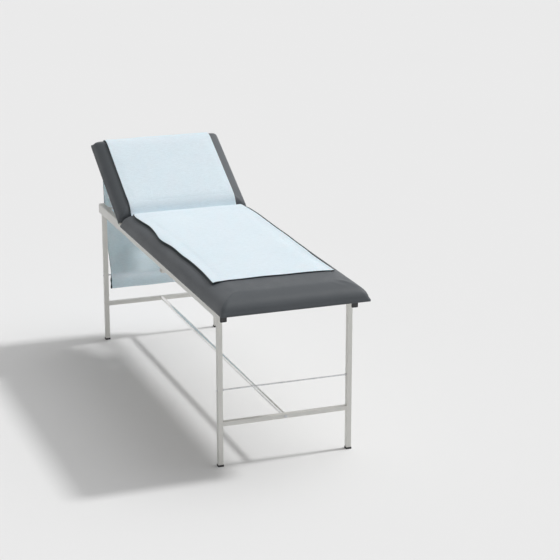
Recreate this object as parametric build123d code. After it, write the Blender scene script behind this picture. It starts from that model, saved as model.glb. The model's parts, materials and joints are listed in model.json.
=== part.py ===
from build123d import *
import math
import os

# A medical exam table: two painted side rails on four square legs, a long upholstered
# seat section, a hinged backrest held up by a notched stay, and a drape sheet.
# Millimetres. X is across the table, +Y points to the head end, Z is up from the floor.
# The origin is on the floor, under the middle of the table's outline with the back raised.

# Frame
TABLE_FRONT_Y = -986.0          # foot-end edge of the seat cushion
LEG_FRONT_Y = TABLE_FRONT_Y + 140.0
LEG_REAR_Y = LEG_FRONT_Y + 1755.0
LEG_X = 283.0
LEG_SIZE = 22.0
LEG_WALL = 1.6
LEG_CORNER = 2.5
RAIL_WIDTH = 28.0
RAIL_HEIGHT = 46.0
RAIL_WALL = 2.0
RAIL_CORNER = 4.0
RAIL_TOP = 683.0
RAIL_BOTTOM = RAIL_TOP - RAIL_HEIGHT
RAIL_INNER_X = LEG_X - RAIL_WIDTH / 2
RAIL_OUTER_X = LEG_X + RAIL_WIDTH / 2
RAIL_Y = (LEG_FRONT_Y - 55.0, LEG_REAR_Y + 40.5)
CAP_FLANGE = 4.0
CAP_STEM = 14.0
PLUG_CLEARANCE = 0.2            # all round a plastic plug inside a tube
FOOT_CAP_HEIGHT = 8.0
FOOT_CAP_SIZE = 25.0
CROSSBAR_SIZE = 20.0
CROSSBAR_Z = 184.5
CROSSBAR_WALL = 1.6
STRETCHER_RADIUS = 10.0
STRETCHER_WALL = 1.5
INSERT_LENGTH = 12.0
TIE_ROD_Z = 330.0
TIE_ROD_RADIUS = 3.0
NUT_FLATS = 10.0
NUT_HEIGHT = 5.0
CAP_NUT_HEIGHT = 4.3
CAP_NUT_DOME = 6.5              # radius of the low dome on a cap nut
CAP_NUT_GRIP = 3.0              # how far the rod runs into a cap nut
CROSS_MEMBER_DEPTH = 25.0
CROSS_MEMBER_HEIGHT = 24.0
HINGE_MEMBER_SETBACK = 57.0     # centre of the cross member ahead of the hinge axis
MID_MEMBER_Y = LEG_FRONT_Y + 758.0
MID_MEMBER_HEIGHT = 16.0

# Upholstery
BOARD_THICKNESS = 9.0
BOARD_HALF_WIDTH = 318.0
SEAT_BOARD_INSET = 8.0
CUSHION_HALF_WIDTH = 320.0
CUSHION_BOTTOM = RAIL_TOP + BOARD_THICKNESS
CUSHION_THICKNESS = 64.0
CUSHION_TOP = CUSHION_BOTTOM + CUSHION_THICKNESS
SIDE_ROUNDING = 74.0
END_ROUNDING = 79.0
COVER_THICKNESS = 1.5

# Backrest and its hinge
HINGE_Y = TABLE_FRONT_Y + 1488.0
HINGE_Z = CUSHION_BOTTOM - 1.0
HINGE_GAP = 9.5                 # cushions and boards stop this far from the hinge axis
BACK_LENGTH = 557.0
BACK_ANGLE = 30.0               # raised angle of the backrest as modelled
BACK_BOARD_INSET = 18.0
REST_GAP = 0.3                  # the flat backrest clears the rails by this
KNUCKLE_RADIUS = 5.5
HINGE_PIN_RADIUS = 2.5
HINGE_PIN_CLEARANCE = 0.05
HINGE_X = 200.0
HINGE_HALF_WIDTH = 30.0
MIDDLE_KNUCKLE_HALF = 11.4
KNUCKLE_GAP = 0.4
LEAF_THICKNESS = 2.5
LEAF_REACH = 42.0
HINGE_SCREW_REACH = 28.0
HINGE_SCREW_OFFSET = 18.0
BEARER_X = (205.0, 235.0)
BEARER_THICKNESS = 4.0
LUG_SCREW_X = 216.0
BEARER_Y = (HINGE_Y + 50.0, HINGE_Y + 530.0)

# Stay: two arms that pivot under the backrest, and a foot bar that runs over notched guides
PIVOT_REACH = 200.0             # along the backrest from the hinge axis
PIVOT_DROP = 22.0               # pivot below the hinge axis, square to the backrest
STAY_LENGTH = 230.0
ARM_WIDTH = 18.0
ARM_X = (236.4, 240.4)
LUG_X = (233.0, 236.0)
LUG_THICKNESS = 3.0
LUG_RADIUS = 9.0
PIVOT_RADIUS = 3.0
PIVOT_CLEARANCE = 0.05
FOOT_BAR_RADIUS = 5.0
SLEEVE_RADIUS = 7.0
SLEEVE_X = (254.0, RAIL_INNER_X - 0.7)
GUIDE_THICKNESS = 5.0
GUIDE_CLEARANCE = 0.8
GUIDE_HEIGHT = 22.0
GUIDE_OVERRUN = 14.0
NOTCH_ANGLES = (10.0, 20.0, 30.0, 40.0, 50.0, 60.0)
NOTCH_RADIUS = 7.3
NOTCH_DEPTH = 4.0

# Drape sheet
SHEET_THICKNESS = 1.5
SHEET_GAP = 0.2
SEAT_SHEET_X = (-262.0, 262.0)
SEAT_SHEET_FRONT_Y = LEG_FRONT_Y + 104.0
BACK_SHEET_X = (-260.0, 260.0)
TAIL_X = (-253.0, 253.0)
TAIL_BOTTOM_Z = 240.0
TAIL_OFFSET = 0.5               # the hanging cloth clears the cushion's back corner by this

SCREW_RADIUS = 2.0
SCREW_HEAD_RADIUS = 4.0
SCREW_HEAD_HEIGHT = 2.0


# Shared shapes

def block(x, y, z):
    """A box given by its low and high limits along each axis."""
    centre = ((x[0] + x[1]) / 2, (y[0] + y[1]) / 2, (z[0] + z[1]) / 2)
    return Pos(*centre) * Box(x[1] - x[0], y[1] - y[0], z[1] - z[0])


def rod(radius, start, end):
    """A round bar between two points."""
    run = Vector(*end) - Vector(*start)
    return Solid.make_cylinder(radius, run.length, Plane(origin=start, z_dir=run))


def span(centre, size):
    """Low and high limits of a size centred on a place."""
    return (centre - size / 2, centre + size / 2)


def shrink(limits, wall):
    """The same limits moved inwards by a wall at each end."""
    return (limits[0] + wall, limits[1] - wall)


def on_side(side, low, high):
    """X limits on the left (-1) or right (1) side, from limits stated for the right."""
    return tuple(sorted((side * low, side * high)))


AXES = {"X": Axis.X, "Y": Axis.Y, "Z": Axis.Z}


def rounded_bar(x, y, z, along, corner):
    """A box whose long corners, along the named axis, are rounded."""
    return fillet(block(x, y, z).edges().filter_by(AXES[along]), corner)


def rounded_tube(x, y, z, along, wall, corner):
    """A rectangular tube with rounded long corners, open at both ends."""
    limits = {"X": x, "Y": y, "Z": z}
    bore = [limits[axis] if axis == along else shrink(limits[axis], wall) for axis in AXES]
    return rounded_bar(x, y, z, along, corner) - rounded_bar(*bore, along, corner - wall * 0.6)


def screw(seat, direction, grip):
    """A pan-head screw whose head rests on a surface point and whose shank goes in."""
    seat, direction = Vector(*seat), Vector(*direction)
    head = rod(SCREW_HEAD_RADIUS, tuple(seat - direction * SCREW_HEAD_HEIGHT), tuple(seat))
    return head + rod(SCREW_RADIUS, tuple(seat), tuple(seat + direction * grip))


def screw_hole(seat, direction, grip):
    """The hole for such a screw."""
    seat, direction = Vector(*seat), Vector(*direction)
    return rod(SCREW_RADIUS, tuple(seat - direction * 0.01), tuple(seat + direction * grip))


def raised(shape):
    """Turn a part drawn with the back flat to the modelled back angle."""
    return shape.rotate(Axis((0, HINGE_Y, HINGE_Z), (1, 0, 0)), BACK_ANGLE)


def save(name, shape):
    """Write one node."""
    export_step(shape, f"parts/{name}.step")


def save_group(name, shapes):
    """Write one node that holds several identical separate solids."""
    save(name, Compound(children=[solid for shape in shapes for solid in shape.solids()]))


SIDES = {"left": -1, "right": 1}
ENDS = {"front": LEG_FRONT_Y, "rear": LEG_REAR_Y}
UP = (0, 0, 1)


# Frame

LEG_HALF = LEG_SIZE / 2
MID_SCREWS = [(side * LEG_X, MID_MEMBER_Y, RAIL_BOTTOM - MID_MEMBER_HEIGHT) for side in (-1, 1)]
MID_GRIP = MID_MEMBER_HEIGHT + RAIL_WALL
GUIDE_SCREW_Y = (HINGE_Y + 262.0, HINGE_Y + 412.0)
GUIDE_SCREW_Z = HINGE_Z - PIVOT_DROP - SLEEVE_RADIUS - GUIDE_CLEARANCE - 14.0


def guide_screws(make):
    """The screws that hold both stay guides, or their holes."""
    seats = [(side, y) for side in (-1, 1) for y in GUIDE_SCREW_Y]
    inner = RAIL_INNER_X - GUIDE_THICKNESS
    grip = GUIDE_THICKNESS + RAIL_WALL
    return [make((side * inner, y, GUIDE_SCREW_Z), (side, 0, 0), grip) for side, y in seats]


def side_rail(side):
    rail = rounded_tube(on_side(side, RAIL_INNER_X, RAIL_OUTER_X), RAIL_Y,
                        (RAIL_BOTTOM, RAIL_TOP), "Y", RAIL_WALL, RAIL_CORNER)
    for seat in MID_SCREWS:
        rail -= screw_hole(seat, UP, MID_GRIP)
    for hole in guide_screws(screw_hole):
        rail -= hole
    return rail


def rail_end_cap(side, end):
    """A plastic plug: a flange that covers the rail's end and a stem inside the tube."""
    out = -1 if end == "front" else 1
    face = RAIL_Y[0] if end == "front" else RAIL_Y[1]
    x = on_side(side, RAIL_INNER_X, RAIL_OUTER_X)
    flange = rounded_bar(x, tuple(sorted((face, face + out * CAP_FLANGE))),
                         (RAIL_BOTTOM, RAIL_TOP), "Y", RAIL_CORNER)
    front_face = flange.faces().sort_by(Axis.Y)[0 if out < 0 else -1]
    flange = fillet(front_face.edges(), 1.2)
    inset = RAIL_WALL + PLUG_CLEARANCE
    stem = rounded_bar(shrink(x, inset), tuple(sorted((face, face - out * CAP_STEM))),
                       shrink((RAIL_BOTTOM, RAIL_TOP), inset), "Y", RAIL_CORNER)
    return flange + stem


def leg(side, y):
    tube = rounded_tube(on_side(side, LEG_X - LEG_HALF, LEG_X + LEG_HALF), span(y, LEG_SIZE),
                        (FOOT_CAP_HEIGHT, RAIL_BOTTOM), "Z", LEG_WALL, LEG_CORNER)
    return tube - rod(TIE_ROD_RADIUS, (side * (LEG_X - LEG_SIZE), y, TIE_ROD_Z),
                      (side * (LEG_X + LEG_SIZE), y, TIE_ROD_Z))


def foot_cap(side, y):
    """A plastic foot that plugs the leg and stands a little proud of it all round."""
    pad = rounded_bar(span(side * LEG_X, FOOT_CAP_SIZE), span(y, FOOT_CAP_SIZE),
                      (0, FOOT_CAP_HEIGHT), "Z", 3.5)
    pad = fillet(pad.faces().sort_by(Axis.Z)[-1].edges(), 1.5)
    stem_size = LEG_SIZE - 2 * (LEG_WALL + PLUG_CLEARANCE)
    stem = rounded_bar(span(side * LEG_X, stem_size), span(y, stem_size),
                       (FOOT_CAP_HEIGHT, FOOT_CAP_HEIGHT + 16.0), "Z", LEG_CORNER)
    return pad + stem


def crossbar(y):
    inner = LEG_X - LEG_HALF
    tube = rounded_tube((-inner, inner), span(y, CROSSBAR_SIZE), span(CROSSBAR_Z, CROSSBAR_SIZE),
                        "X", CROSSBAR_WALL, 2.2)
    return tube - rod(TIE_ROD_RADIUS, (0, y - 20, CROSSBAR_Z), (0, y + 20, CROSSBAR_Z))


STRETCHER_Y = (LEG_FRONT_Y + CROSSBAR_SIZE / 2, LEG_REAR_Y - CROSSBAR_SIZE / 2)


def stretcher_tube():
    ends = [(0, y, CROSSBAR_Z) for y in STRETCHER_Y]
    return rod(STRETCHER_RADIUS, *ends) - rod(STRETCHER_RADIUS - STRETCHER_WALL, *ends)


def stretcher_inserts():
    """The threaded slugs pressed into both ends of the stretcher."""
    inserts = []
    for y, inwards in zip(STRETCHER_Y, (1, -1)):
        ends = [(0, y, CROSSBAR_Z), (0, y + inwards * INSERT_LENGTH, CROSSBAR_Z)]
        radius = STRETCHER_RADIUS - STRETCHER_WALL
        inserts.append(rod(radius, *ends) - rod(TIE_ROD_RADIUS, *ends))
    return inserts


def stretcher_bolts():
    """Round-head bolts through the low crossbars into the stretcher's ends."""
    bolts = []
    for y, inwards in zip(STRETCHER_Y, (1, -1)):
        outside = y - inwards * CROSSBAR_SIZE
        shank = rod(TIE_ROD_RADIUS, (0, outside, CROSSBAR_Z),
                    (0, y + inwards * INSERT_LENGTH, CROSSBAR_Z))
        head = rod(6.0, (0, outside - inwards * 3.5, CROSSBAR_Z), (0, outside, CROSSBAR_Z))
        bolts.append(shank + head)
    return bolts


def tie_rod(y):
    reach = LEG_X + LEG_HALF + CAP_NUT_GRIP
    return rod(TIE_ROD_RADIUS, (-reach, y, TIE_ROD_Z), (reach, y, TIE_ROD_Z))


def hex_prism(x, y):
    """A nut blank lying along X."""
    plane = Plane(origin=(x[0], y, TIE_ROD_Z), z_dir=(1, 0, 0))
    return extrude(plane * RegularPolygon(NUT_FLATS / math.sqrt(3), 6), x[1] - x[0])


def tie_rod_nuts():
    """A low cap nut outside each leg and a plain nut inside it."""
    nuts = []
    for y in ENDS.values():
        for side in (-1, 1):
            outer = side * (LEG_X + LEG_HALF)
            inner = side * (LEG_X - LEG_HALF)
            tip = outer + side * CAP_NUT_HEIGHT
            dome = Pos(tip - side * CAP_NUT_DOME, y, TIE_ROD_Z) * Sphere(CAP_NUT_DOME)
            domed = hex_prism(tuple(sorted((outer, tip))), y) & dome
            plain = hex_prism(tuple(sorted((inner, inner - side * NUT_HEIGHT))), y)
            nuts.extend([domed - tie_rod(y), plain - tie_rod(y)])
    return nuts


def cross_member(y):
    """A tube between the rails, flush with their tops, that carries the seat board."""
    member = rounded_tube((-RAIL_INNER_X, RAIL_INNER_X), span(y, CROSS_MEMBER_DEPTH),
                          (RAIL_TOP - CROSS_MEMBER_HEIGHT, RAIL_TOP), "X", 1.6, 2.5)
    for seat in board_screw_seats(y):
        member -= screw_hole(seat, UP, BOARD_GRIP)
    return member


def mid_cross_member():
    """A flat tube under the rails at mid length."""
    member = rounded_tube((-RAIL_OUTER_X, RAIL_OUTER_X), span(MID_MEMBER_Y, CROSS_MEMBER_DEPTH),
                          (RAIL_BOTTOM - MID_MEMBER_HEIGHT, RAIL_BOTTOM), "X", 1.6, 2.0)
    for seat in MID_SCREWS:
        member -= screw_hole(seat, UP, MID_GRIP)
    return member


# Seat

HINGE_MEMBER_Y = HINGE_Y - HINGE_MEMBER_SETBACK
BOARD_GRIP = CROSS_MEMBER_HEIGHT + BOARD_THICKNESS - 2.0


def board_screw_seats(y):
    return [(x, y, RAIL_TOP - CROSS_MEMBER_HEIGHT) for x in (-180.0, 0.0, 180.0)]


def board_screws():
    seats = board_screw_seats(LEG_FRONT_Y) + board_screw_seats(HINGE_MEMBER_Y)
    return [screw(seat, UP, BOARD_GRIP) for seat in seats]


def cushion_body(half_width, y, z, side_rounding, end_rounding):
    """A flat-bottomed pad: elliptical edges all round that meet in folded corners."""
    height = z[1] - z[0]

    def profile(half, rounding, plane):
        with BuildSketch(plane) as sketch:
            with BuildLine():
                Line((-half, 0), (half, 0))
                EllipticalCenterArc((half - rounding, 0), rounding, height, arc_size=90)
                Line((half - rounding, height), (rounding - half, height))
                EllipticalCenterArc((rounding - half, 0), rounding, height,
                                    start_angle=90, arc_size=90)
            make_face()
        return sketch.sketch

    middle_y = (y[0] + y[1]) / 2
    half_length = (y[1] - y[0]) / 2
    across = Plane(origin=(0, y[0] - 10, z[0]), x_dir=(1, 0, 0), z_dir=(0, -1, 0))
    along = Plane(origin=(-half_width - 10, middle_y, z[0]), x_dir=(0, 1, 0), z_dir=(1, 0, 0))
    lengthwise = extrude(profile(half_width, side_rounding, across), -(2 * half_length + 20))
    crosswise = extrude(profile(half_length, end_rounding, along), 2 * half_width + 20)
    return lengthwise & crosswise


def foam(y):
    """The pad inside the cover."""
    return cushion_body(CUSHION_HALF_WIDTH - COVER_THICKNESS, shrink(y, COVER_THICKNESS),
                        (CUSHION_BOTTOM, CUSHION_TOP - COVER_THICKNESS),
                        SIDE_ROUNDING - COVER_THICKNESS, END_ROUNDING - COVER_THICKNESS)


def cover(y):
    """The upholstery skin, open underneath where the board closes it."""
    outside = cushion_body(CUSHION_HALF_WIDTH, y, (CUSHION_BOTTOM, CUSHION_TOP),
                           SIDE_ROUNDING, END_ROUNDING)
    return outside - foam(y)


SEAT_Y = (TABLE_FRONT_Y, HINGE_Y - HINGE_GAP)
BACK_Y = (HINGE_Y + HINGE_GAP, HINGE_Y + BACK_LENGTH)
LEAF_UNDER = RAIL_TOP - LEAF_THICKNESS


def hinge_screws(make, direction):
    """The screws of both leaves on one side of the hinge, or their holes."""
    seats = [(side * HINGE_X + dx, HINGE_Y + direction * HINGE_SCREW_REACH, LEAF_UNDER)
             for side in (-1, 1) for dx in (-HINGE_SCREW_OFFSET, HINGE_SCREW_OFFSET)]
    return [make(seat, UP, LEAF_THICKNESS + BOARD_THICKNESS - 2.0) for seat in seats]


def seat_board():
    board = block((-BOARD_HALF_WIDTH, BOARD_HALF_WIDTH),
                  (SEAT_Y[0] + SEAT_BOARD_INSET, SEAT_Y[1]), (RAIL_TOP, CUSHION_BOTTOM))
    holes = [screw_hole(seat, UP, BOARD_GRIP)
             for y in (LEG_FRONT_Y, HINGE_MEMBER_Y) for seat in board_screw_seats(y)]
    for hole in holes + hinge_screws(screw_hole, -1):
        board -= hole
    return board


# Hinge

def knuckle_x(side, low, high):
    return (side * HINGE_X + low, side * HINGE_X + high)


def knuckle(x, bore):
    ends = [(x[0], HINGE_Y, HINGE_Z), (x[1], HINGE_Y, HINGE_Z)]
    return rod(KNUCKLE_RADIUS, *ends), rod(bore, *ends)


def hinge_leaf(side, direction, knuckles, bore):
    """A leaf under a board, with a web up to its knuckles; direction -1 seat, 1 back."""
    whole = knuckle_x(side, -HINGE_HALF_WIDTH, HINGE_HALF_WIDTH)

    def reach(near, far):
        return tuple(sorted((HINGE_Y + direction * near, HINGE_Y + direction * far)))

    web_near = KNUCKLE_RADIUS - LEAF_THICKNESS
    leaf = block(whole, reach(web_near, LEAF_REACH), (LEAF_UNDER, RAIL_TOP))
    for low, high in knuckles:
        x = knuckle_x(side, low, high)
        barrel, hole = knuckle(x, bore)
        web = block(x, reach(web_near, KNUCKLE_RADIUS), (LEAF_UNDER, HINGE_Z))
        leaf = leaf + web + barrel - hole
    for hole in hinge_screws(screw_hole, direction):
        leaf -= hole
    return leaf


def hinge_pin(side):
    x = knuckle_x(side, -HINGE_HALF_WIDTH, HINGE_HALF_WIDTH)
    pin = rod(HINGE_PIN_RADIUS, (x[0] - 1.5, HINGE_Y, HINGE_Z), (x[1] + 1.5, HINGE_Y, HINGE_Z))
    heads = [rod(4.0, (x[0] - 1.5, HINGE_Y, HINGE_Z), (x[0], HINGE_Y, HINGE_Z)),
             rod(4.0, (x[1], HINGE_Y, HINGE_Z), (x[1] + 1.5, HINGE_Y, HINGE_Z))]
    return pin + heads[0] + heads[1]


OUTER_KNUCKLES = [(-HINGE_HALF_WIDTH, -MIDDLE_KNUCKLE_HALF - KNUCKLE_GAP),
                  (MIDDLE_KNUCKLE_HALF + KNUCKLE_GAP, HINGE_HALF_WIDTH)]
MIDDLE_KNUCKLE = [(-MIDDLE_KNUCKLE_HALF, MIDDLE_KNUCKLE_HALF)]


# Backrest, drawn flat behind the hinge and then raised

BEARER_Z = (RAIL_TOP - BEARER_THICKNESS, RAIL_TOP)
PIVOT_Y = HINGE_Y + PIVOT_REACH
PIVOT_Z = HINGE_Z - PIVOT_DROP
LUG_TOP = BEARER_Z[0]


def bearer_screws(make):
    seats = [(side * sum(BEARER_X) / 2, HINGE_Y + reach, BEARER_Z[0])
             for side in (-1, 1) for reach in (80.0, 340.0, 510.0)]
    return [make(seat, UP, BEARER_THICKNESS + BOARD_THICKNESS - 2.0) for seat in seats]


def lug_screws(make):
    seats = [(side * LUG_SCREW_X, PIVOT_Y + dy, LUG_TOP - LUG_THICKNESS)
             for side in (-1, 1) for dy in (-16.0, 16.0)]
    grip = LUG_THICKNESS + BEARER_THICKNESS + BOARD_THICKNESS - 2.0
    return [make(seat, UP, grip) for seat in seats]


def backrest_board():
    board = block((-BOARD_HALF_WIDTH, BOARD_HALF_WIDTH),
                  (BACK_Y[0], BACK_Y[1] - BACK_BOARD_INSET), (RAIL_TOP, CUSHION_BOTTOM))
    for side in (-1, 1):
        rebate_x = on_side(side, RAIL_INNER_X - 2.0, BOARD_HALF_WIDTH + 1.0)
        board -= block(rebate_x, (HINGE_Y, BACK_Y[1]), (RAIL_TOP - 1.0, RAIL_TOP + REST_GAP))
    holes = hinge_screws(screw_hole, 1) + bearer_screws(screw_hole) + lug_screws(screw_hole)
    for hole in holes:
        board -= hole
    return board


def bearer(side):
    """A flat bar that stiffens the backrest board and carries the stay's lug."""
    bar = rounded_bar(on_side(side, *BEARER_X), BEARER_Y, BEARER_Z, "Z", 6.0)
    for hole in bearer_screws(screw_hole) + lug_screws(screw_hole):
        bar -= hole
    return bar


def stay_lug(side):
    """An angle bracket under the bearer whose upright plate holds the stay's pivot."""
    foot = block(on_side(side, BEARER_X[0], LUG_X[1]), span(PIVOT_Y, 50.0),
                 (LUG_TOP - LUG_THICKNESS, LUG_TOP))
    plate = block(on_side(side, *LUG_X), span(PIVOT_Y, 2 * LUG_RADIUS), (PIVOT_Z, LUG_TOP))
    plate += rod(LUG_RADIUS, (side * LUG_X[0], PIVOT_Y, PIVOT_Z), (side * LUG_X[1], PIVOT_Y, PIVOT_Z))
    lug = foot + plate
    lug -= rod(PIVOT_RADIUS, (side * 220, PIVOT_Y, PIVOT_Z), (side * 250, PIVOT_Y, PIVOT_Z))
    for hole in lug_screws(screw_hole):
        lug -= hole
    return lug


def pivot_pin(side):
    """A shoulder pin through the lug and the stay arm."""
    inner, outer = LUG_X[0] - 2.0, ARM_X[1] + 2.5
    shank = rod(PIVOT_RADIUS, (side * inner, PIVOT_Y, PIVOT_Z), (side * outer, PIVOT_Y, PIVOT_Z))
    heads = [rod(5.0, (side * inner, PIVOT_Y, PIVOT_Z), (side * LUG_X[0], PIVOT_Y, PIVOT_Z)),
             rod(5.0, (side * (ARM_X[1] + 0.5), PIVOT_Y, PIVOT_Z), (side * outer, PIVOT_Y, PIVOT_Z))]
    return shank + heads[0] + heads[1]


# Stay

def back_point(reach, height, angle):
    """Y and Z of a point on the backrest: reach along it and height square to it."""
    turn = math.radians(angle)
    return (HINGE_Y + reach * math.cos(turn) - height * math.sin(turn),
            HINGE_Z + reach * math.sin(turn) + height * math.cos(turn))


def stay_foot_y(angle):
    """Where the foot bar stands when the backrest is at an angle."""
    pivot_y, pivot_z = back_point(PIVOT_REACH, -PIVOT_DROP, angle)
    fall = pivot_z - PIVOT_Z
    return pivot_y + math.sqrt(STAY_LENGTH ** 2 - fall ** 2)


REST_PIVOT = back_point(PIVOT_REACH, -PIVOT_DROP, BACK_ANGLE)
REST_FOOT = (stay_foot_y(BACK_ANGLE), PIVOT_Z)


def stay_arm(side):
    """A flat bar with round ends, one on the pivot pin and one welded to the foot bar."""
    slope = math.degrees(math.atan2(REST_FOOT[1] - REST_PIVOT[1], REST_FOOT[0] - REST_PIVOT[0]))
    thickness = ARM_X[1] - ARM_X[0]
    middle_x = side * (ARM_X[0] + ARM_X[1]) / 2
    bar = Box(thickness, STAY_LENGTH, ARM_WIDTH)
    for end in (-1, 1):
        y = end * STAY_LENGTH / 2
        bar += rod(ARM_WIDTH / 2, (-thickness / 2, y, 0), (thickness / 2, y, 0))
    bar -= rod(PIVOT_RADIUS + PIVOT_CLEARANCE, (-5, -STAY_LENGTH / 2, 0), (5, -STAY_LENGTH / 2, 0))
    bar -= rod(FOOT_BAR_RADIUS, (-5, STAY_LENGTH / 2, 0), (5, STAY_LENGTH / 2, 0))
    middle = ((REST_PIVOT[0] + REST_FOOT[0]) / 2, (REST_PIVOT[1] + REST_FOOT[1]) / 2)
    return Pos(middle_x, *middle) * Rot(slope, 0, 0) * bar


def foot_bar():
    return rod(FOOT_BAR_RADIUS, (-SLEEVE_X[1], *REST_FOOT), (SLEEVE_X[1], *REST_FOOT))


def foot_sleeve(side):
    ends = [(side * x, *REST_FOOT) for x in SLEEVE_X]
    return rod(SLEEVE_RADIUS, *ends) - rod(FOOT_BAR_RADIUS, *ends)


def stay_guide(side):
    """A notched plate on the rail's inner face; the foot bar's sleeves run over it."""
    top = PIVOT_Z - SLEEVE_RADIUS - GUIDE_CLEARANCE
    y = (stay_foot_y(60.0) - GUIDE_OVERRUN, stay_foot_y(0.0) + GUIDE_OVERRUN)
    x = on_side(side, RAIL_INNER_X - GUIDE_THICKNESS, RAIL_INNER_X)
    plate = block(x, y, (top - GUIDE_HEIGHT, top))
    for angle in NOTCH_ANGLES:
        centre = (stay_foot_y(angle), top - NOTCH_DEPTH + NOTCH_RADIUS)
        plate -= rod(NOTCH_RADIUS, (x[0] - 1, *centre), (x[1] + 1, *centre))
    for hole in guide_screws(screw_hole):
        plate -= hole
    return plate


# Drape sheet

def seat_sheet():
    return block(SEAT_SHEET_X, (SEAT_SHEET_FRONT_Y, HINGE_Y - END_ROUNDING),
                 (CUSHION_TOP + SHEET_GAP, CUSHION_TOP + SHEET_GAP + SHEET_THICKNESS))


def back_sheet():
    """Cloth over the front of the backrest and round its top end."""

    def swollen(extra):
        ends = (BACK_Y[0] - extra, BACK_Y[1] + extra)
        return cushion_body(CUSHION_HALF_WIDTH + 50, ends, (CUSHION_BOTTOM, CUSHION_TOP + extra),
                            SIDE_ROUNDING, END_ROUNDING + extra)

    shell = swollen(SHEET_GAP + SHEET_THICKNESS) - swollen(SHEET_GAP)
    keep = block(BACK_SHEET_X, (BACK_Y[0] + END_ROUNDING, BACK_Y[1] + 20),
                 (CUSHION_BOTTOM + 1.0, CUSHION_TOP + 20))
    return shell & keep


TAIL_TOP = back_point(BACK_LENGTH, CUSHION_BOTTOM - HINGE_Z, BACK_ANGLE)


def hanging_sheet():
    """The free end of the cloth, hanging straight down behind the backrest."""
    near = TAIL_TOP[0] + TAIL_OFFSET
    return block(TAIL_X, (near, near + SHEET_THICKNESS), (TAIL_BOTTOM_Z, TAIL_TOP[1] - 1.0))


def main():
    os.makedirs("parts", exist_ok=True)
    for name, side in SIDES.items():
        save(f"side_rail_{name}", side_rail(side))
        save(f"hinge_leaf_seat_{name}", hinge_leaf(side, -1, OUTER_KNUCKLES, HINGE_PIN_RADIUS))
        back_leaf = hinge_leaf(side, 1, MIDDLE_KNUCKLE, HINGE_PIN_RADIUS + HINGE_PIN_CLEARANCE)
        save(f"hinge_leaf_back_{name}", raised(back_leaf))
        save(f"hinge_pin_{name}", hinge_pin(side))
        save(f"backrest_bearer_{name}", raised(bearer(side)))
        save(f"stay_lug_{name}", raised(stay_lug(side)))
        save(f"stay_pivot_pin_{name}", raised(pivot_pin(side)))
        save(f"stay_arm_{name}", stay_arm(side))
        save(f"stay_foot_sleeve_{name}", foot_sleeve(side))
        save(f"stay_guide_{name}", stay_guide(side))
        for end, y in ENDS.items():
            save(f"rail_end_cap_{end}_{name}", rail_end_cap(side, end))
            save(f"leg_{end}_{name}", leg(side, y))
            save(f"foot_cap_{end}_{name}", foot_cap(side, y))
    for end, y in ENDS.items():
        save(f"crossbar_{end}", crossbar(y))
        save(f"tie_rod_{end}", tie_rod(y))
    save("stretcher_tube", stretcher_tube())
    save_group("stretcher_inserts", stretcher_inserts())
    save_group("stretcher_bolts", stretcher_bolts())
    save_group("tie_rod_nuts", tie_rod_nuts())
    save("cross_member_front", cross_member(LEG_FRONT_Y))
    save("cross_member_hinge", cross_member(HINGE_MEMBER_Y))
    save("cross_member_mid", mid_cross_member())
    save_group("mid_member_screws", [screw(seat, UP, MID_GRIP) for seat in MID_SCREWS])
    save("seat_board", seat_board())
    save_group("seat_board_screws", board_screws())
    save("seat_foam", foam(SEAT_Y))
    save("seat_cover", cover(SEAT_Y))
    save("seat_sheet", seat_sheet())
    save_group("hinge_screws_seat", hinge_screws(screw, -1))
    save_group("hinge_screws_back", [raised(piece) for piece in hinge_screws(screw, 1)])
    save("backrest_board", raised(backrest_board()))
    save_group("backrest_screws", [raised(piece) for piece in bearer_screws(screw) + lug_screws(screw)])
    save("backrest_foam", raised(foam(BACK_Y)))
    save("backrest_cover", raised(cover(BACK_Y)))
    save("backrest_sheet", raised(back_sheet()))
    save("stay_foot_bar", foot_bar())
    save_group("guide_screws", guide_screws(screw))
    save("hanging_sheet", hanging_sheet())


main()
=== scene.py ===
"""Examination couch: looks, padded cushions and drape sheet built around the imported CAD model."""
import json
import math

import bpy
import numpy as np
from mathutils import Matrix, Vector
from mathutils.bvhtree import BVHTree


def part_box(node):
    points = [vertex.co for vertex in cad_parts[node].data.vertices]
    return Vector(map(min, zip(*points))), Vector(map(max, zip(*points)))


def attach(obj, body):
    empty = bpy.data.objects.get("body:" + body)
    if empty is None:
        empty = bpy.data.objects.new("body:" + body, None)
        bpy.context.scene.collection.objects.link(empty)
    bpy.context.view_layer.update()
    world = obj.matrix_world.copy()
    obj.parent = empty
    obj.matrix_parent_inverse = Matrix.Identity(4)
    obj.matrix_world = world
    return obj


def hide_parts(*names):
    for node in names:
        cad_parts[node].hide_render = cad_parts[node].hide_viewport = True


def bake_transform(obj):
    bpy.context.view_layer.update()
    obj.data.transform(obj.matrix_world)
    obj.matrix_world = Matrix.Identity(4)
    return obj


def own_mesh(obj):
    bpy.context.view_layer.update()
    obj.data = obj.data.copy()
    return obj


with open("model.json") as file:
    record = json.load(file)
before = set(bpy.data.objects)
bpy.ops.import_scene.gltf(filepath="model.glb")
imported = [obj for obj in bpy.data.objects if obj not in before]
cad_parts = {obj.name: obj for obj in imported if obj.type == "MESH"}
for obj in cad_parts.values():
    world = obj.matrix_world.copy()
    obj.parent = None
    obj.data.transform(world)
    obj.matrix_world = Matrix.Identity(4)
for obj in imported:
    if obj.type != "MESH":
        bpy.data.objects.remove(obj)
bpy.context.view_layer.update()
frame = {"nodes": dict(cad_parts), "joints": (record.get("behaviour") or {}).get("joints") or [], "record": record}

# Sizes of the couch, in metres, in the frame of the CAD model

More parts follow.
